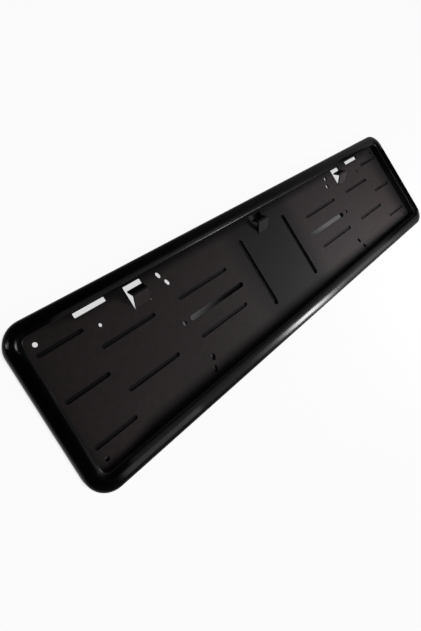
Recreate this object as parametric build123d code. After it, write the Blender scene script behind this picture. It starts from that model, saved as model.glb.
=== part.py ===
"""Number plate holder: a shallow one-piece moulded tray for 520 mm number plates.

Frame: the holder lies on its back. The origin is at the middle of the back plane, +X runs along the length,
+Y to the upper edge and +Z out of the front. Lengths are in millimetres.
"""

from build123d import *
import os

# Largest plate that the tray takes
plate_length = 520.0
plate_width = 112.0
plate_clearance = 0.5

# Rim: a hollow crowned frame around the plate pocket, open at the back
rim_width = 12.0
rim_height = 9.0
rim_wall = 2.0
pocket_corner_radius = 6.8
crown_radius = 15.0
crown_place = 5.2
outer_edge_radius = 2.8

# Lip at the rim's inner edge that the plate snaps under
lip_overhang = 1.2
lip_thickness = 1.2
lip_slope = 1.0
lip_edge_radius = 1.2

# Floor: the front face lies this far above the back plane
floor_front = 6.0
floor_wall = 2.0

# Knock-out screw grooves: closed by a thin skin that a screw breaks through
groove_width = 3.6
groove_skin = 0.6
groove_middle = 1.3
groove_row = 19.5
outer_groove_row = 39.0
inner_groove_span = (69.0, 131.0)
middle_groove_span = (158.0, 211.5)
end_groove_span = (216.5, 255.0)

# Upright slots either side of the middle, open through the floor
upright_slot_width = 5.6
upright_slot_length = 75.0
upright_slot_place = 36.0

# Open screw slots on the centre line, with collars that reach the back plane
screw_slot_span = (60.5, 131.0)
screw_slot_width = 5.0
collar_gap = 2.4
collar_wall = 1.6

# Round holes
pilot_hole_radius = 2.2
pilot_hole_gap = 5.2
corner_hole_radius = 2.0
corner_hole_place = (251.3, 48.5)
top_hole_radius = 1.6
top_hole_place = (203.0, 36.5)

# Slanted oval holes in pairs near the long edges
oval_hole_length = 6.0
oval_hole_width = 4.0
oval_hole_slant = 20.0
oval_hole_places = ((136.0, 47.8), (131.7, 38.7))

# Windows along the upper edge
edge_window_span = (188.3, 217.5)
edge_window_height = 4.2
edge_window_wall_gap = 1.6
edge_window_corner = 0.8

# Three spring tongues behind the plate's upper edge, each rooted at the lower edge of its window
tongue_pitch = 161.9
tongue_window_width = 18.2
tongue_window_foot = 32.4
tongue_window_height = 21.2
tongue_window_corner = 0.8
tongue_side_gap = 1.4
tongue_thickness = 1.7
tongue_root_run = 1.4
tongue_ridge_run = 10.4
tongue_ridge_height = 8.0
tongue_tip_run = 5.4
tongue_tip_drop = 6.6
tongue_bend_radius = 1.6
tongue_root_depth = 3.0

# Webs across the hollow rim, at the back
web_thickness = 1.6
web_recess = 0.8
web_pitch = 68.0
webs_each_long_side = 7
end_web_place = 26.0

pocket_length = plate_length + 2 * plate_clearance
pocket_width = plate_width + 2 * plate_clearance
floor_back = floor_front - floor_wall
crest = floor_front + rim_height
sides = (-1, 1)
tongue_places = (-tongue_pitch, 0, tongue_pitch)


def middle_of(span):
    return (span[0] + span[1]) / 2


def length_of(span):
    return span[1] - span[0]


def round_corner(face, corner, radius):
    return fillet(face.vertices().sort_by_distance(corner)[0], radius)


def crown_height(u):
    """Height of the rim's top, one arc across it, with u counted outwards from the pocket wall."""
    centre = crest - crown_radius
    return centre + (crown_radius**2 - (u - crown_place) ** 2) ** 0.5


def rim_skin():
    """Outside of the rim: the wall over the floor, the lip, the crown and the outer wall."""
    lip_top = (-lip_overhang, crown_height(-lip_overhang))
    lip_bottom = lip_top[1] - lip_thickness
    outer_top = (rim_width, crown_height(rim_width))
    crown = ThreePointArc(lip_top, (crown_place, crest), outer_top)
    walls = Polyline(
        outer_top,
        (rim_width, 0),
        (0, 0),
        (0, lip_bottom - lip_slope),
        (-lip_overhang, lip_bottom),
        lip_top,
    )
    face = make_face(crown + walls)
    face = round_corner(face, outer_top, outer_edge_radius)
    return round_corner(face, lip_top, lip_edge_radius)


def rim_channel():
    """Hollow of the rim, from its open back up to the wall under the crown."""
    inner, outer = rim_wall, rim_width - rim_wall
    top = crown_height(outer) - rim_wall
    return make_face(Polyline([(inner, 0), (inner, top), (outer, top), (outer, 0)], close=True))


def sweep_round_pocket(section):
    """Carries a section around the pocket wall."""
    path = RectangleRounded(pocket_length, pocket_width, pocket_corner_radius).wire()
    start = path @ 0
    along = path % 0
    outwards = along.cross(Vector(0, 0, 1))
    if outwards.dot(start) < 0:
        outwards = -outwards
    across = Plane(origin=start, x_dir=outwards, z_dir=outwards.cross(Vector(0, 0, 1)))
    return sweep(across * section, path=path)


def rim():
    foot = make_face(
        Polyline([(0, 0), (rim_wall, 0), (rim_wall, floor_back), (0, floor_back)], close=True)
    )
    return sweep_round_pocket(rim_skin() - rim_channel() - foot)


def floor():
    sheet = RectangleRounded(pocket_length, pocket_width, pocket_corner_radius)
    return Pos(0, 0, floor_back) * extrude(sheet, floor_wall)


def webs():
    """Stiffening webs in the hollow rim, one pattern on the long sides and one at the ends."""
    below = Pos(rim_width / 2, web_recess / 2) * Rectangle(rim_width, web_recess)
    web_face = rim_channel() - below
    made = []
    for side in sides:
        for number in range(webs_each_long_side):
            place = (number - (webs_each_long_side - 1) / 2) * web_pitch
            start = Vector(place, side * pocket_width / 2, 0)
            plane = Plane(origin=start, x_dir=(0, side, 0), z_dir=(side, 0, 0))
            made.append(extrude(plane * web_face, web_thickness / 2, both=True))
        for end in sides:
            start = Vector(end * pocket_length / 2, side * end_web_place, 0)
            plane = Plane(origin=start, x_dir=(end, 0, 0), z_dir=(0, -end, 0))
            made.append(extrude(plane * web_face, web_thickness / 2, both=True))
    return made


def slot_cutter(span, width, y, low, high, side):
    """Round-ended cutter along X, from low to high."""
    outline = SlotOverall(length_of(span), width)
    return Pos(side * middle_of(span), y, low) * extrude(outline, high - low)


def knock_out_grooves():
    low = floor_back + groove_skin
    high = floor_front + floor_wall
    made = []
    for side in sides:
        for row in (-groove_row, groove_row):
            y = groove_middle + row
            made.append(slot_cutter(inner_groove_span, groove_width, y, low, high, side))
            made.append(slot_cutter(middle_groove_span, groove_width, y, low, high, side))
        for row in (-outer_groove_row, 0, outer_groove_row):
            made.append(slot_cutter(end_groove_span, groove_width, groove_middle + row, low, high, side))
    return made


def upright_slots():
    outline = Rot(0, 0, 90) * SlotOverall(upright_slot_length, upright_slot_width)
    return [Pos(side * upright_slot_place, 0, 0) * extrude(outline, crest) for side in sides]


def screw_slots():
    return [slot_cutter(screw_slot_span, screw_slot_width, 0, 0, crest, side) for side in sides]


def screw_collars():
    """Ribs around the screw slots, behind the floor."""
    length = length_of(screw_slot_span) + 2 * collar_gap
    width = screw_slot_width + 2 * collar_gap
    ring = SlotOverall(length + 2 * collar_wall, width + 2 * collar_wall) - SlotOverall(length, width)
    collar = extrude(ring, floor_back)
    return [Pos(side * middle_of(screw_slot_span), 0, 0) * collar for side in sides]


def through_hole(radius, x, y):
    return Pos(x, y, crest / 2) * Cylinder(radius, crest)


def round_holes():
    made = []
    pilot_hole_place = screw_slot_span[1] + pilot_hole_gap + pilot_hole_radius
    for side in sides:
        made.append(through_hole(pilot_hole_radius, side * pilot_hole_place, 0))
        made.append(through_hole(top_hole_radius, side * top_hole_place[0], top_hole_place[1]))
        for edge in sides:
            x, y = corner_hole_place
            made.append(through_hole(corner_hole_radius, side * x, edge * y))
    return made


def oval_holes():
    made = []
    oval = extrude(SlotOverall(oval_hole_length, oval_hole_width), crest)
    for side in sides:
        for edge in sides:
            for x, y in oval_hole_places:
                turn = 90 - side * edge * oval_hole_slant
                made.append(Pos(side * x, edge * y, 0) * Rot(0, 0, turn) * oval)
    return made


def edge_windows():
    top = pocket_width / 2 - edge_window_wall_gap
    outline = RectangleRounded(length_of(edge_window_span), edge_window_height, edge_window_corner)
    cutter = extrude(outline, floor_front)
    y = top - edge_window_height / 2
    return [Pos(side * middle_of(edge_window_span), y, 0) * cutter for side in sides]


def tongue_windows():
    outline = RectangleRounded(tongue_window_width, tongue_window_height, tongue_window_corner)
    cutter = extrude(outline, floor_front)
    y = tongue_window_foot + tongue_window_height / 2
    return [Pos(place, y, 0) * cutter for place in tongue_places]


def spring_tongues():
    """Bent strips that rise from the window's lower edge and turn down at the tip."""
    middle = floor_front - tongue_thickness / 2
    ridge = (tongue_window_foot + tongue_ridge_run, middle + tongue_ridge_height)
    line = FilletPolyline(
        (tongue_window_foot - tongue_root_depth, middle),
        (tongue_window_foot + tongue_root_run, middle),
        ridge,
        (ridge[0] + tongue_tip_run, ridge[1] - tongue_tip_drop),
        radius=tongue_bend_radius,
    )
    strip = trace(line, tongue_thickness)
    width = tongue_window_width - 2 * tongue_side_gap
    tongue = extrude(Plane.YZ * strip, width / 2, both=True)
    return [Pos(place, 0, 0) * tongue for place in tongue_places]


def plate_holder():
    body = rim() + floor()
    body += webs()
    body += screw_collars()
    body -= knock_out_grooves()
    body -= upright_slots()
    body -= screw_slots()
    body -= round_holes()
    body -= oval_holes()
    body -= edge_windows()
    body -= tongue_windows()
    body += spring_tongues()
    return body


holder = plate_holder()
os.makedirs("parts", exist_ok=True)
export_step(holder, "parts/plate_holder.step")
print(holder.bounding_box().size, round(holder.volume / 1000, 1), "cm3", len(holder.solids()), "solids")
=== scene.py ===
"""Finish and studio of the number plate holder.

The holder is one black moulding with a glossy rim and a matt grained floor. It lies on its back on a
pale table, with +X along its length, +Y to its upper edge and +Z out of its front. Lengths are in metres.
"""

import math
from types import SimpleNamespace

import bpy
from bpy.props import FloatProperty, FloatVectorProperty, PointerProperty
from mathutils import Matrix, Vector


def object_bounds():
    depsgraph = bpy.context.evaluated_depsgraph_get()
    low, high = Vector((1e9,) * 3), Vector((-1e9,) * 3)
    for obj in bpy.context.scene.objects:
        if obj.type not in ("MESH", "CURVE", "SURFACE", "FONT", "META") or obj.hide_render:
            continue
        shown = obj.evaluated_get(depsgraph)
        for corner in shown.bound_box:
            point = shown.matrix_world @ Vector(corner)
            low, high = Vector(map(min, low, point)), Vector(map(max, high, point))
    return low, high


bl_info = {
    "name": "Number plate holder",
    "version": (1, 0, 0),
    "blender": (4, 5, 0),
    "location": "View3D > Sidebar > Plate holder",
    "description": "Gives the number plate holder its moulded finish and sets up the studio around it",
    "category": "Object",
}

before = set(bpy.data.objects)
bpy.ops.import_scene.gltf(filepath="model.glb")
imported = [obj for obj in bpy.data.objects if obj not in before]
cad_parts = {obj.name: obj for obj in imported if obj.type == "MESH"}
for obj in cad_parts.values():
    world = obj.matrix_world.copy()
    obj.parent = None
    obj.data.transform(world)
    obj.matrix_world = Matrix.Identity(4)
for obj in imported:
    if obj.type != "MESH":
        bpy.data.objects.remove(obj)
cad_low, cad_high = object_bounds()

HOLDER_NODE = "plate_holder"
DISTANCE_GROUP = "rounded_wall_distance"

# Kinds of settings
COLOUR = {"subtype": "COLOR", "size": 3, "min": 0, "max": 1}
SHARE = {"subtype": "FACTOR", "min": 0, "max": 1}
LENGTH = {"unit": "LENGTH"}
PLACE = {"subtype": "XYZ", "unit": "LENGTH", "size": 3}
PANEL_SIZE = {"unit": "LENGTH", "size": 2}

# Bands in which one finish or painted shade of the moulding gives way to the next. Heights count from the
# floor, distances from the pocket wall with the inside negative, and slopes are components of the face's
# normal.
# The lip's lean is the share of its height by which the rim may overhang the pocket.
GROOVE_DEPTH = (-0.0002, -0.0004)
TONGUE_HEIGHT = (0.0003, 0.0008)
TONGUE_TIP_SLOPE = (0.0, 0.3)
WALL_FOOT = -0.0005
WALL_START = (WALL_FOOT, -0.0002)
LIP_LEAN = 0.35
STEEP_SLOPE = (0.88, 0.8)
LIP_DISTANCE = (0.003, 0.001)
LEFT_LIP_DISTANCE = (0.0012, 0.0002)
LEFT_LIP_X = (-0.247, -0.253)
LEFT_LIP_HALF_WIDTH = (0.05, 0.044)
FLOOR_BACK_HEIGHT = (-0.0017, -0.0021)
OUTER_WALL_DISTANCE = (0.0117, 0.0112)
BACK_SLOPE = (-0.4, -0.7)
LOWER_PART_Y = (-0.02, -0.04)
UPPER_PART_Y = (0.0, 0.02)
LEFT_PART_X = (-0.2, -0.25)
FIELD_FADE = 0.015

# Patterns of the surface: how large they are, which of their values count, and what those change
FLOW_SIZE = 0.035
MOTTLE_SIZE = 0.006
GRAIN_BAND = (0.2, 0.8)
FLOW_BAND = (0.3, 0.7)
MOTTLE_BAND = (0.25, 0.75)
FLOOR_MOTTLE = (0.86, 1.12)
BACK_MOTTLE = (0.8, 1.15)
FLOOR_SWING = (-0.05, 0.05)
RIM_SWING = (-0.02, 0.03)
BACK_SWING = (-0.06, 0.06)
RIPPLE_SHARE = 0.25
BUMP_STRENGTH = 0.6

# Table: its size, and the bands that bound its white and its shade
TABLE_HALF_LENGTH = 6.0
TABLE_GAP = 0.0002
OUTER_CORNER = 0.018
HOLDER_EDGE = (-0.004, 0.002)
UPPER_WINDOW_Y = (0.031, 0.037)
UPPER_WINDOW_X = (0.06, 0.11)
SLOT_Y = (-0.02, -0.008)
RIGHT_SLOT_X = (0.045, 0.11)
LEFT_SLOT_X = (-0.08, -0.17)
SHADE_X = (0.2, 0.15)
LIT_CORNER_X = (-0.1, -0.05)
LIT_CORNER_Y = (-0.036, -0.028)

# Camera
SENSOR_WIDTH = 36.0
CLIP_START = 0.01
CLIP_END = 50.0


class MouldingFinish(bpy.types.PropertyGroup):
    """Colours and surface of the moulding."""

    floor_colour: FloatVectorProperty(
        name="Floor colour", description="Matt grained floor of the tray",
        default=(0.0352, 0.0257, 0.0268), **COLOUR)
    # The rim's black is also painted on the tongue tips as shade
    rim_and_tip_shade_colour: FloatVectorProperty(
        name="Rim colour", description="Polished rim around the tray",
        default=(0.0018, 0.0017, 0.0017), **COLOUR)
    # Painted shade: the bottoms of the knock-out grooves are coloured darker than the floor
    groove_shade_colour: FloatVectorProperty(
        name="Groove colour", description="Smooth bottom of the knock-out grooves",
        default=(0.005, 0.0042, 0.0042), **COLOUR)
    back_colour: FloatVectorProperty(
        name="Back colour", description="Plain tool finish behind the floor",
        default=(0.013, 0.0125, 0.0125), **COLOUR)
    floor_roughness: FloatProperty(
        name="Floor roughness", description="Mean roughness of the grained floor",
        default=0.75, **SHARE)
    margin_roughness: FloatProperty(
        name="Margin roughness", description="Roughness of the floor beside the walls",
        default=1.0, **SHARE)
    rim_roughness: FloatProperty(
        name="Rim roughness", description="Mean roughness of the polished rim",
        default=0.2, **SHARE)
    edge_roughness: FloatProperty(
        name="Edge roughness", description="Roughness of the steep sides of the rim",
        default=0.4, **SHARE)
    lip_roughness: FloatProperty(
        name="Lip roughness", description="Roughness of the lip's inner edge and the pocket wall",
        default=0.8, **SHARE)
    upper_lip_roughness: FloatProperty(
        name="Upper lip roughness", description="Roughness of the lip along the upper edge",
        default=0.35, **SHARE)
    back_roughness: FloatProperty(
        name="Back roughness", description="Mean roughness of the plain tool finish",
        default=0.42, **SHARE)
    # Painted shade: the floor's colour darkens towards the walls, more along the lower wall and at the
    # right end, less at the left end
    wall_shade_width: FloatProperty(
        name="Margin width", description="Width over which the floor darkens towards the walls",
        default=0.012, **LENGTH)
    wall_shade_share: FloatProperty(
        name="Margin shade", description="Share of the floor's colour that is left at the walls",
        default=0.1, **SHARE)
    lower_wall_shade_width: FloatProperty(
        name="Lower margin", description="Extra width of the margin along the lower wall",
        default=0.003, **LENGTH)
    right_wall_shade_width: FloatProperty(
        name="Right margin", description="Width of the margin at the right end",
        default=0.034, **LENGTH)
    left_wall_shade_relief: FloatProperty(
        name="Left relief", description="How much narrower the margin is at the left end",
        default=0.008, **LENGTH)
    field_reach: FloatProperty(
        name="Middle field reach", description="Reach of the darker middle field to either side",
        default=0.05, **LENGTH)
    field_shade: FloatProperty(
        name="Middle field shade", description="Share of the floor's colour that the middle field has",
        default=0.3, **SHARE)
    plastic_index: FloatProperty(
        name="Plastic index", description="Refractive index of the plastic",
        default=1.45)
    grain_size: FloatProperty(
        name="Grain size", description="Width of one pit of the grained floor",
        default=0.0007, **LENGTH)
    grain_depth: FloatProperty(
        name="Grain depth", description="Depth of the pits of the grained floor",
        default=0.00004, **LENGTH)
    rim_width: FloatProperty(
        name="Rim width", description="Width of the rim from the outer edge to the pocket wall",
        default=0.012, **LENGTH)
    pocket_corner: FloatProperty(
        name="Pocket corner", description="Corner radius of the plate pocket",
        default=0.0068, **LENGTH)
    floor_height: FloatProperty(
        name="Floor height", description="Height of the tray's floor above the back plane",
        default=0.006, **LENGTH)


class StudioSettings(bpy.types.PropertyGroup):
    """Light, table and camera around the holder."""

    key_place: FloatVectorProperty(
        name="Key place", description="Middle of the key lamp, in front of the holder's right half",
        default=(0.24, -0.188, 0.241), **PLACE)
    key_size: FloatVectorProperty(
        name="Key size", description="Length and height of the key lamp",
        default=(0.122, 0.115), **PANEL_SIZE)
    key_radiance: FloatProperty(
        name="Key radiance", description="Brightness of the key lamp's face",
        default=19.5)
    long_place: FloatVectorProperty(
        name="Long panel place", description="Middle of the dim panel along the lower rim",
        default=(0.21, -0.147, 0.195), **PLACE)
    long_size: FloatVectorProperty(
        name="Long panel size", description="Length and height of the dim panel",
        default=(0.642, 0.115), **PANEL_SIZE)
    long_radiance: FloatProperty(
        name="Long panel radiance", description="Brightness of the dim panel's face",
        default=0.42)
    right_place: FloatVectorProperty(
        name="Right panel place", description="Middle of the soft panel along the right half",
        default=(0.2875, -0.147, 0.21), **PLACE)
    right_size: FloatVectorProperty(
        name="Right panel size", description="Length and height of the right panel",
        default=(0.475, 0.12), **PANEL_SIZE)
    right_radiance: FloatProperty(
        name="Right panel radiance", description="Brightness of the right panel's face",
        default=0.57)
    left_place: FloatVectorProperty(
        name="Left card place", description="Middle of the low card at the lower left corner",
        default=(-0.198, -0.0817, 0.0544), **PLACE)
    left_size: FloatVectorProperty(
        name="Left card size", description="Length and height of the left card",
        default=(0.09, 0.026), **PANEL_SIZE)
    left_radiance: FloatProperty(
        name="Left card radiance", description="Brightness of the left card's face",
        default=0.95)
    strip_place: FloatVectorProperty(
        name="Strip place", description="Middle of the low card above the lower rim",
        default=(0.003, -0.058, 0.059), **PLACE)
    strip_size: FloatVectorProperty(
        name="Strip size", description="Length and height of the low card",
        default=(0.47, 0.021), **PANEL_SIZE)
    strip_radiance: FloatProperty(
        name="Strip radiance", description="Brightness of the low card's face",
        default=0.3)
    upper_place: FloatVectorProperty(
        name="Upper card place", description="Middle of the low card beside the upper rim",
        default=(-0.11, 0.038, 0.052), **PLACE)
    upper_size: FloatVectorProperty(
        name="Upper card size", description="Length and height of the upper card",
        default=(0.23, 0.024), **PANEL_SIZE)
    upper_radiance: FloatProperty(
        name="Upper card radiance", description="Brightness of the upper card's face",
        default=0.22)
    spark_place: FloatVectorProperty(
        name="Spark place", description="Middle of the small lamp inside the upper left corner",
        default=(-0.2595, 0.0532, 0.0283), **PLACE)
    spark_size: FloatVectorProperty(
        name="Spark size", description="Length and height of the inner small lamp",
        default=(0.0022, 0.0022), **PANEL_SIZE)
    outer_spark_place: FloatVectorProperty(
        name="Outer spark place", description="Middle of the small lamp outside the upper left corner",
        default=(-0.2829, 0.0702, 0.0547), **PLACE)
    outer_spark_size: FloatVectorProperty(
        name="Outer spark size", description="Length and height of the outer small lamp",
        default=(0.004, 0.004), **PANEL_SIZE)
    spark_radiance: FloatProperty(
        name="Spark radiance", description="Brightness of the small lamps",
        default=14.0)
    fill_place: FloatVectorProperty(
        name="Fill place", description="Middle of the soft lamp above the left half of the floor",
        default=(-0.2, -0.15, 0.3), **PLACE)
    fill_size: FloatVectorProperty(
        name="Fill size", description="Length and height of the soft lamp",
        default=(0.2, 0.2), **PANEL_SIZE)
    fill_radiance: FloatProperty(
        name="Fill radiance", description="Brightness of the soft lamp's face",
        default=1.5)
    panel_lean: FloatProperty(
        name="Panel lean", description="Lean of the lamp and panels from facing straight down",
        default=math.radians(26), subtype="ANGLE", unit="ROTATION")
    dark_card_place: FloatVectorProperty(
        name="Dark card place", description="Middle of the black card's foot, outside the right end",
        default=(0.286, -0.0065, 0.01), **PLACE)
    dark_card_size: FloatVectorProperty(
        name="Dark card size", description="Width and height of the black card",
        default=(0.103, 0.07), **PANEL_SIZE)
    dark_card_colour: FloatVectorProperty(
        name="Dark card colour", description="Black of the card",
        default=(0.002, 0.002, 0.002), **COLOUR)
    sky_strength: FloatProperty(
        name="Room light", description="Strength of the light that fades from the walls to the ceiling",
        default=0.48)
    sky_falloff: FloatProperty(
        name="Light falloff", description="How fast the room darkens towards the ceiling",
        default=1.7)
    wall_strength: FloatProperty(
        name="Wall light", description="Strength of the light close above the table",
        default=0.08)
    wall_falloff: FloatProperty(
        name="Wall falloff", description="How fast the light above the table fades upwards",
        default=6.0)
    backdrop_white: FloatProperty(
        name="Backdrop white", description="White of the plain backdrop as the camera sees it",
        default=0.97, **SHARE)
    table_colour: FloatVectorProperty(
        name="Table colour", description="Pale table under the holder",
        default=(0.82, 0.82, 0.82), **COLOUR)
    shade_colour: FloatVectorProperty(
        name="Shade colour", description="Table in the shade under the middle of the holder",
        default=(0.12, 0.12, 0.12), **COLOUR)
    table_whiteness: FloatProperty(
        name="Table whiteness", description="Share of plain white in the table as the camera sees it",
        default=0.95, **SHARE)
    mirrored_share: FloatProperty(
        name="Mirrored share", description="Share of that white which the glossy rim mirrors",
        default=0.4, **SHARE)
    upper_share: FloatProperty(
        name="Upper share", description="Share of that white which shows through the upper windows",
        default=0.7, **SHARE)
    # Painted light: a faint white on the table behind the screw slots
    slot_light_share: FloatProperty(
        name="Slot share", description="Share of that white which shows through the screw slots",
        default=0.12, **SHARE)
    camera_place: FloatVectorProperty(
        name="Camera place", description="Where the camera stands",
        default=(-0.28841, 0.03062, 0.2782), **PLACE)
    camera_turn: FloatVectorProperty(
        name="Camera turn", description="Rotation of the camera about X, Y and Z",
        default=tuple(math.radians(angle) for angle in (14.6427, -25.1818, -35.3986)),
        subtype="EULER", unit="ROTATION", size=3)
    camera_lens: FloatProperty(
        name="Camera lens", description="Focal length for a 36 mm wide sensor, in millimetres",
        default=20.495)
    camera_shift: FloatVectorProperty(
        name="Camera shift", description="Offset of the cropped picture from the lens axis",
        default=(0.0602, -0.0195), size=2)


class NodeBoard:
    """Adds shader nodes to a tree and links their sockets."""

    def __init__(self, tree):
        self.tree = tree

    def add(self, kind, **settings):
        node = self.tree.nodes.new(kind)
        for name, value in settings.items():
            setattr(node, name, value)
        return node

    def feed(self, socket, value):
        if isinstance(value, bpy.types.NodeSocket):
            self.tree.links.new(value, socket)
        else:
            socket.default_value = value

    def feed_all(self, node, values):
        for name, value in values.items():
            self.feed(node.inputs[name], value)

    def math(self, operation, *values, clamp=False):
        node = self.add("ShaderNodeMath", operation=operation, use_clamp=clamp)
        for socket, value in zip(node.inputs, values):
            self.feed(socket, value)
        return node.outputs[0]

    def vector(self, operation, *values):
        node = self.add("ShaderNodeVectorMath", operation=operation)
        for socket, value in zip(node.inputs, values):
            self.feed(socket, value)
        return node.outputs["Value"] if operation == "LENGTH" else node.outputs["Vector"]

    def split(self, vector):
        node = self.add("ShaderNodeSeparateXYZ")
        self.feed(node.inputs[0], vector)
        return tuple(node.outputs)

    def ramp(self, value, low, high, out_low=0.0, out_high=1.0):
        node = self.add("ShaderNodeMapRange", interpolation_type="SMOOTHSTEP")
        self.feed_all(node, {"Value": value, "From Min": low, "From Max": high})
        self.feed_all(node, {"To Min": out_low, "To Max": out_high})
        return node.outputs["Result"]

    def vary(self, pattern, band, mean, swing):
        """A value that swings about its mean with a pattern."""
        return self.ramp(pattern, *band, mean + swing[0], mean + swing[1])

    def mix_value(self, share, first, second, kind="FLOAT"):
        node = self.add("ShaderNodeMix", data_type=kind)
        self.feed_all(node, {"Factor": share, "A": first, "B": second})
        return node.outputs["Result"]

    def mix_colour(self, share, first, second):
        return self.mix_value(share, first, second, kind="RGBA")

    def scale_colour(self, colour, amount):
        node = self.add("ShaderNodeVectorMath", operation="SCALE")
        self.feed(node.inputs[0], colour)
        self.feed(node.inputs["Scale"], amount)
        return node.outputs["Vector"]

    def noise(self, place, size, detail, roughness):
        node = self.add("ShaderNodeTexNoise", noise_dimensions="3D")
        self.feed_all(node, {"Vector": place, "Scale": 1.0 / size})
        self.feed_all(node, {"Detail": detail, "Roughness": roughness})
        return node.outputs["Fac"]


def opaque(colour):
    return (*colour, 1)


def new_material(name):
    """An empty material and the board that takes its nodes."""
    material = bpy.data.materials.new(name)
    material.use_nodes = True
    material.node_tree.nodes.clear()
    return material, NodeBoard(material.node_tree)


def rounded_wall_distance():
    """Node group: distance from a point to an upright rounded wall, negative inside it."""
    tree = bpy.data.node_groups.new(DISTANCE_GROUP, "ShaderNodeTree")
    tree.interface.new_socket("Place", in_out="INPUT", socket_type="NodeSocketVector")
    for name in ("Half Length", "Half Width", "Corner Radius"):
        tree.interface.new_socket(name, in_out="INPUT", socket_type="NodeSocketFloat")
    tree.interface.new_socket("Distance", in_out="OUTPUT", socket_type="NodeSocketFloat")
    board = NodeBoard(tree)
    given = board.add("NodeGroupInput").outputs
    flat = board.vector("MULTIPLY", board.vector("ABSOLUTE", given["Place"]), (1, 1, 0))
    reach = board.add("ShaderNodeCombineXYZ")
    board.feed(reach.inputs["X"], board.math("SUBTRACT", given["Half Length"], given["Corner Radius"]))
    board.feed(reach.inputs["Y"], board.math("SUBTRACT", given["Half Width"], given["Corner Radius"]))
    past = board.vector("SUBTRACT", flat, reach.outputs[0])
    outside = board.vector("LENGTH", board.vector("MAXIMUM", past, (0, 0, 0)))
    past_x, past_y = board.split(past)[:2]
    inside = board.math("MINIMUM", board.math("MAXIMUM", past_x, past_y), 0.0)
    from_corner = board.math("ADD", outside, inside)
    distance = board.math("SUBTRACT", from_corner, given["Corner Radius"])
    board.feed(board.add("NodeGroupOutput").inputs["Distance"], distance)
    return tree


def wall_distance(board, place, half_length, half_width, corner):
    node = board.add("ShaderNodeGroup")
    node.node_tree = bpy.data.node_groups.get(DISTANCE_GROUP) or rounded_wall_distance()
    board.feed_all(node, {"Place": place, "Corner Radius": corner})
    board.feed_all(node, {"Half Length": half_length, "Half Width": half_width})
    return node.outputs["Distance"]


def finish_zones(board, finish, place):
    """Masks of the moulding's finishes and of its painted shade, each 1 where it lies and 0 elsewhere."""
    x, y, z = board.split(place)
    slope_y, slope_z = board.split(board.add("ShaderNodeNewGeometry").outputs["Normal"])[1:]
    half_length = cad_high.x - finish.rim_width
    half_width = cad_high.y - finish.rim_width
    distance = wall_distance(board, place, half_length, half_width, finish.pocket_corner)
    height = board.math("SUBTRACT", z, finish.floor_height)

    # Painted shade in the grooves, and the polished rim with painted shade on the tips of the tongues
    groove_shade = board.ramp(height, *GROOVE_DEPTH)
    raised = board.ramp(height, *TONGUE_HEIGHT)
    # Painted shade: the faces of the tongue tips that turn to +Y take the rim's black
    tip_shade = board.math("MULTIPLY", raised, board.ramp(slope_y, *TONGUE_TIP_SLOPE))
    wall = board.ramp(board.math("MULTIPLY_ADD", height, LIP_LEAN, distance), *WALL_START)
    polish_and_tip_shade = board.math("MAXIMUM", wall, tip_shade)

    # Duller inner edge of the lip, and its whole width at the left end
    steep = board.ramp(slope_z, *STEEP_SLOPE)
    inner = board.math("MULTIPLY", steep, board.ramp(distance, *LIP_DISTANCE))
    between_corners = board.ramp(board.math("ABSOLUTE", y), *LEFT_LIP_HALF_WIDTH)
    left_end = board.math("MULTIPLY", board.ramp(x, *LEFT_LIP_X), between_corners)
    left_lip = board.math("MULTIPLY", left_end, board.ramp(distance, *LEFT_LIP_DISTANCE))
    dull = board.math("MAXIMUM", inner, left_lip)

    # Back of the floor, hollow of the rim and all that faces backwards
    below_floor = board.ramp(height, *FLOOR_BACK_HEIGHT)
    hollow = board.math("MULTIPLY", below_floor, board.ramp(distance, *OUTER_WALL_DISTANCE))
    behind = board.math("MAXIMUM", hollow, board.ramp(slope_z, *BACK_SLOPE))

    # Painted shade of the floor beside the walls: wider along the lower wall and at the right end,
    # narrower at the left end
    lower_part = board.ramp(y, *LOWER_PART_Y)
    left_part = board.ramp(x, *LEFT_PART_X)
    past_wall_shade = board.math("MULTIPLY_ADD", lower_part, finish.lower_wall_shade_width, distance)
    past_wall_shade = board.math("MULTIPLY_ADD", left_part, -finish.left_wall_shade_relief, past_wall_shade)
    near_wall_shade = board.ramp(past_wall_shade, -finish.wall_shade_width, WALL_FOOT)
    right_end_shade = board.ramp(x, half_length - finish.right_wall_shade_width, half_length)
    margin = board.math("MAXIMUM", near_wall_shade, right_end_shade)

    # Darker field around the middle, and the upper half
    field_start = finish.field_reach + FIELD_FADE
    field_end = finish.field_reach - FIELD_FADE
    field = board.ramp(board.math("ABSOLUTE", x), field_start, field_end)
    upper = board.ramp(y, *UPPER_PART_Y)
    return SimpleNamespace(
        groove_shade=groove_shade,
        polish_and_tip_shade=polish_and_tip_shade,
        steep=steep,
        dull=dull,
        behind=behind,
        margin=margin,
        field=field,
        upper=upper,
    )


def moulding_colour(board, finish, zones, mottle):
    """Mottled floor with painted shade along its walls and a darker middle field, painted shade in the
    grooves and on the tongue tips, the black rim, and the plain back.
    """
    margin = board.mix_value(zones.margin, 1.0, finish.wall_shade_share)
    field = board.mix_value(zones.field, 1.0, finish.field_shade)
    shade = board.math("MULTIPLY", margin, field)
    shade = board.math("MULTIPLY", board.ramp(mottle, *MOTTLE_BAND, *FLOOR_MOTTLE), shade)
    colour = board.scale_colour(finish.floor_colour, shade)
    # Painted shade in the grooves
    colour = board.mix_colour(zones.groove_shade, colour, opaque(finish.groove_shade_colour))
    # The rim's black, also painted on the tongue tips as shade
    colour = board.mix_colour(zones.polish_and_tip_shade, colour, opaque(finish.rim_and_tip_shade_colour))
    back = board.scale_colour(finish.back_colour, board.ramp(mottle, *MOTTLE_BAND, *BACK_MOTTLE))
    return board.mix_colour(zones.behind, colour, back)


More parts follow.
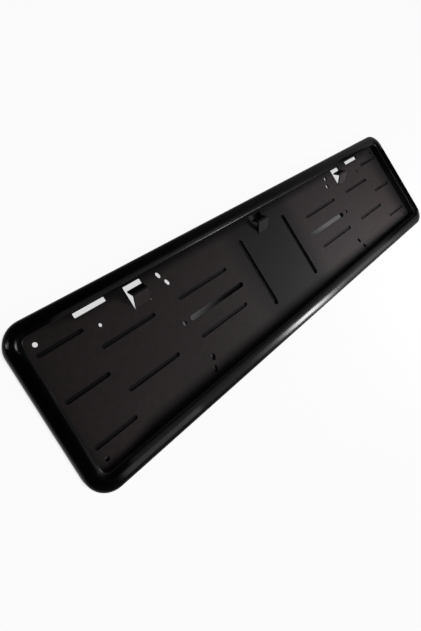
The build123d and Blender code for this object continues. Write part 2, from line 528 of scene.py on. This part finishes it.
def moulding_roughness(board, finish, zones, grain, flow):
    """Matt floor, polished rim with steep sides and lip that are less so, and the semi-matt back."""
    matt = board.vary(grain, GRAIN_BAND, finish.floor_roughness, FLOOR_SWING)
    matt = board.mix_value(zones.margin, matt, finish.margin_roughness)
    smooth = board.vary(flow, FLOW_BAND, finish.rim_roughness, RIM_SWING)
    smooth = board.mix_value(zones.steep, smooth, finish.edge_roughness)
    lip = board.mix_value(zones.upper, finish.lip_roughness, finish.upper_lip_roughness)
    smooth = board.mix_value(zones.dull, smooth, lip)
    rough = board.mix_value(zones.polish_and_tip_shade, matt, smooth)
    back = board.vary(flow, FLOW_BAND, finish.back_roughness, BACK_SWING)
    return board.mix_value(zones.behind, rough, back)


def moulding_relief(board, finish, zones, grain, flow):
    """Pits of the grained floor, and the faint ripple of the polished rim."""
    pits = board.math("MULTIPLY", grain, board.math("SUBTRACT", 1.0, zones.polish_and_tip_shade))
    ripple = board.math("MULTIPLY", flow, board.math("MULTIPLY", zones.polish_and_tip_shade, RIPPLE_SHARE))
    bump = board.add("ShaderNodeBump")
    bump.inputs["Strength"].default_value = BUMP_STRENGTH
    bump.inputs["Distance"].default_value = finish.grain_depth
    board.feed(bump.inputs["Height"], board.math("ADD", pits, ripple))
    return bump.outputs["Normal"]


def black_moulding(finish):
    """Black plastic: polished on the rim, grained on the floor and plain at the back."""
    material, board = new_material("black_plastic_moulding")
    place = board.add("ShaderNodeTexCoord").outputs["Object"]
    zones = finish_zones(board, finish, place)
    grain = board.noise(place, finish.grain_size, detail=2.0, roughness=0.6)
    flow = board.noise(place, FLOW_SIZE, detail=3.0, roughness=0.55)
    mottle = board.noise(place, MOTTLE_SIZE, detail=4.0, roughness=0.6)
    shader = board.add("ShaderNodeBsdfPrincipled")
    shader.inputs["IOR"].default_value = finish.plastic_index
    board.feed(shader.inputs["Base Color"], moulding_colour(board, finish, zones, mottle))
    board.feed(shader.inputs["Roughness"], moulding_roughness(board, finish, zones, grain, flow))
    board.feed(shader.inputs["Normal"], moulding_relief(board, finish, zones, grain, flow))
    board.feed(board.add("ShaderNodeOutputMaterial").inputs["Surface"], shader.outputs["BSDF"])
    return material


class HOLDER_OT_finish_moulding(bpy.types.Operator):
    """Gives the moulding its polished rim and grained floor"""

    bl_idname = "plate_holder.finish_moulding"
    bl_label = "Finish the moulding"

    def execute(self, context):
        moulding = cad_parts.get(HOLDER_NODE)
        if moulding is None:
            raise RuntimeError("The packed model has no plate holder")
        moulding.data.materials.clear()
        moulding.data.materials.append(black_moulding(context.scene.moulding_finish))
        return {"FINISHED"}


def table_material(settings):
    """Pale table: plain white to the eye around the holder; under it, shaded as it is lit, with painted
    shade under the middle and painted light behind the screw slots.
    """
    material, board = new_material("pale_table")
    place = board.add("ShaderNodeTexCoord").outputs["Object"]
    x, y = board.split(place)[:2]
    from_middle = board.math("ABSOLUTE", x)
    distance = wall_distance(board, place, cad_high.x, cad_high.y, OUTER_CORNER)
    around = board.ramp(distance, *HOLDER_EDGE)

    # White around the holder, less of it behind the upper windows, and painted light on the table behind
    # the screw slots
    upper = board.ramp(y, *UPPER_WINDOW_Y, 0.0, settings.upper_share)
    upper = board.math("MULTIPLY", upper, board.ramp(from_middle, *UPPER_WINDOW_X))
    # Painted light on the table behind the screw slots
    right_slot = board.ramp(x, *RIGHT_SLOT_X, 0.0, settings.slot_light_share)
    left_slot = board.ramp(x, *LEFT_SLOT_X, 0.0, settings.slot_light_share)
    slots = board.math("MULTIPLY", board.ramp(y, *SLOT_Y), board.math("ADD", left_slot, right_slot))
    white_share = board.math("MAXIMUM", around, board.math("MAXIMUM", upper, slots))
    clear = board.math("MULTIPLY", white_share, settings.table_whiteness)
    seen = board.add("ShaderNodeLightPath").outputs
    mirrored = board.math("MAXIMUM", seen["Is Glossy Ray"], seen["Is Transmission Ray"])
    direct = seen["Is Camera Ray"]
    looks = board.math("MULTIPLY_ADD", mirrored, settings.mirrored_share, direct, clamp=True)

    # Shade under the middle of the holder, away from its lower left part
    near_middle = board.ramp(from_middle, *SHADE_X)
    away_from_corner = board.math("MAXIMUM", board.ramp(y, *LIT_CORNER_Y), board.ramp(x, *LIT_CORNER_X))
    covered = board.math("MULTIPLY", near_middle, away_from_corner)
    covered = board.math("MULTIPLY", board.math("SUBTRACT", 1.0, around), covered)
    tone = board.mix_colour(covered, opaque(settings.table_colour), opaque(settings.shade_colour))

    shade = board.add("ShaderNodeBsdfDiffuse")
    board.feed(shade.inputs["Color"], tone)
    white = board.add("ShaderNodeEmission")
    white.inputs["Strength"].default_value = 1.0
    mix = board.add("ShaderNodeMixShader")
    board.feed(mix.inputs[0], board.math("MULTIPLY", looks, clear))
    board.feed(mix.inputs[1], shade.outputs[0])
    board.feed(mix.inputs[2], white.outputs[0])
    board.feed(board.add("ShaderNodeOutputMaterial").inputs["Surface"], mix.outputs[0])
    return material


def black_card(settings):
    """Plain matt black."""
    material, board = new_material("black_card")
    black = board.add("ShaderNodeBsdfDiffuse")
    black.inputs["Color"].default_value = opaque(settings.dark_card_colour)
    board.feed(board.add("ShaderNodeOutputMaterial").inputs["Surface"], black.outputs[0])
    return material


def flat_sheet(name, corners, material):
    mesh = bpy.data.meshes.new(name)
    mesh.from_pydata(corners, [], [(0, 1, 2, 3)])
    mesh.materials.append(material)
    sheet = bpy.data.objects.new(name, mesh)
    bpy.context.scene.collection.objects.link(sheet)
    return sheet


def lay_table(settings):
    """Lays the table a hair below the holder's back."""
    half = TABLE_HALF_LENGTH
    corners = [(-half, -half, 0), (half, -half, 0), (half, half, 0), (-half, half, 0)]
    table = flat_sheet("table", corners, table_material(settings))
    table.location.z = cad_low.z - TABLE_GAP


def stand_dark_card(settings):
    """Stands a black card outside the right end, which the right rim mirrors."""
    width, height = settings.dark_card_size
    half = width / 2
    corners = [(0, -half, 0), (0, half, 0), (0, half, height), (0, -half, height)]
    card = flat_sheet("dark_card", corners, black_card(settings))
    card.location = settings.dark_card_place
    card.visible_camera = False


def light_room(settings):
    """Room light that is brightest near the table and dark at the ceiling, and a white backdrop."""
    world = bpy.data.worlds.new("room")
    bpy.context.scene.world = world
    world.use_nodes = True
    world.node_tree.nodes.clear()
    board = NodeBoard(world.node_tree)
    upwards = board.split(board.add("ShaderNodeTexCoord").outputs["Generated"])[2]
    low = board.math("SUBTRACT", 1.0, board.math("MAXIMUM", upwards, 0.0))
    walls = board.math("MULTIPLY", board.math("POWER", low, settings.wall_falloff), settings.wall_strength)
    sky = board.math("POWER", low, settings.sky_falloff)
    strength = board.math("MULTIPLY_ADD", sky, settings.sky_strength, walls)
    seen = board.add("ShaderNodeLightPath").outputs["Is Camera Ray"]
    back = board.add("ShaderNodeBackground")
    board.feed(back.inputs["Color"], (1, 1, 1, 1))
    board.feed(back.inputs["Strength"], board.mix_value(seen, strength, settings.backdrop_white))
    board.feed(board.add("ShaderNodeOutputWorld").inputs["Surface"], back.outputs[0])


def hang_panel(name, place, size, lean, radiance, lights=True, mirrored=True):
    """Hangs a flat lamp whose long side runs along X, and that leans towards +Y."""
    lamp = bpy.data.lights.new(name, "AREA")
    lamp.shape = "RECTANGLE"
    lamp.size, lamp.size_y = size
    lamp.energy = radiance * math.pi * size[0] * size[1]
    panel = bpy.data.objects.new(name, lamp)
    panel.location = place
    panel.rotation_euler.x = lean
    panel.visible_camera = False
    panel.visible_diffuse = lights
    panel.visible_glossy = mirrored
    bpy.context.scene.collection.objects.link(panel)


def hang_lamps(settings):
    """Hangs the lamps that light the holder, and the cards and small lamps that only its gloss mirrors."""
    lean = settings.panel_lean
    hang_panel("key", settings.key_place, settings.key_size, lean, settings.key_radiance)
    hang_panel("long_panel", settings.long_place, settings.long_size, lean, settings.long_radiance)
    only_mirrored = (
        ("right_panel", settings.right_place, settings.right_size, lean, settings.right_radiance),
        ("left_card", settings.left_place, settings.left_size, lean, settings.left_radiance),
        ("strip", settings.strip_place, settings.strip_size, 0, settings.strip_radiance),
        ("upper_card", settings.upper_place, settings.upper_size, -lean, settings.upper_radiance),
        ("spark", settings.spark_place, settings.spark_size, 0, settings.spark_radiance),
        ("outer_spark", settings.outer_spark_place, settings.outer_spark_size, 0, settings.spark_radiance),
    )
    for panel in only_mirrored:
        hang_panel(*panel, lights=False)
    hang_panel("fill", settings.fill_place, settings.fill_size, 0, settings.fill_radiance, mirrored=False)


def place_camera(settings):
    lens = bpy.data.cameras.new("camera")
    lens.sensor_fit = "AUTO"
    lens.sensor_width = SENSOR_WIDTH
    lens.lens = settings.camera_lens
    lens.shift_x, lens.shift_y = settings.camera_shift
    lens.clip_start = CLIP_START
    lens.clip_end = CLIP_END
    camera = bpy.data.objects.new("camera", lens)
    camera.location = settings.camera_place
    camera.rotation_euler = settings.camera_turn
    bpy.context.scene.collection.objects.link(camera)
    bpy.context.scene.camera = camera


class HOLDER_OT_set_stage(bpy.types.Operator):
    """Lays the table, lights the room and places the camera"""

    bl_idname = "plate_holder.set_stage"
    bl_label = "Set the stage"

    def execute(self, context):
        settings = context.scene.holder_studio
        lay_table(settings)
        stand_dark_card(settings)
        light_room(settings)
        hang_lamps(settings)
        place_camera(settings)
        context.scene.view_settings.view_transform = "Standard"
        return {"FINISHED"}


class HOLDER_PT_panel(bpy.types.Panel):
    """Sidebar panel with the holder's finish and studio"""

    bl_idname = "HOLDER_PT_panel"
    bl_label = "Number plate holder"
    bl_space_type = "VIEW_3D"
    bl_region_type = "UI"
    bl_category = "Plate holder"

    def draw(self, context):
        for settings, operator in (
            (context.scene.moulding_finish, HOLDER_OT_finish_moulding),
            (context.scene.holder_studio, HOLDER_OT_set_stage),
        ):
            box = self.layout.box()
            for name in settings.__annotations__:
                box.prop(settings, name)
            box.operator(operator.bl_idname)


CLASSES = (
    MouldingFinish,
    StudioSettings,
    HOLDER_OT_finish_moulding,
    HOLDER_OT_set_stage,
    HOLDER_PT_panel,
)


def register():
    for made in CLASSES:
        bpy.utils.register_class(made)
    bpy.types.Scene.moulding_finish = PointerProperty(type=MouldingFinish)
    bpy.types.Scene.holder_studio = PointerProperty(type=StudioSettings)


def unregister():
    del bpy.types.Scene.holder_studio
    del bpy.types.Scene.moulding_finish
    for made in reversed(CLASSES):
        bpy.utils.unregister_class(made)


def main():
    register()
    bpy.ops.plate_holder.finish_moulding()
    bpy.ops.plate_holder.set_stage()


if __name__ == "__main__":
    main()
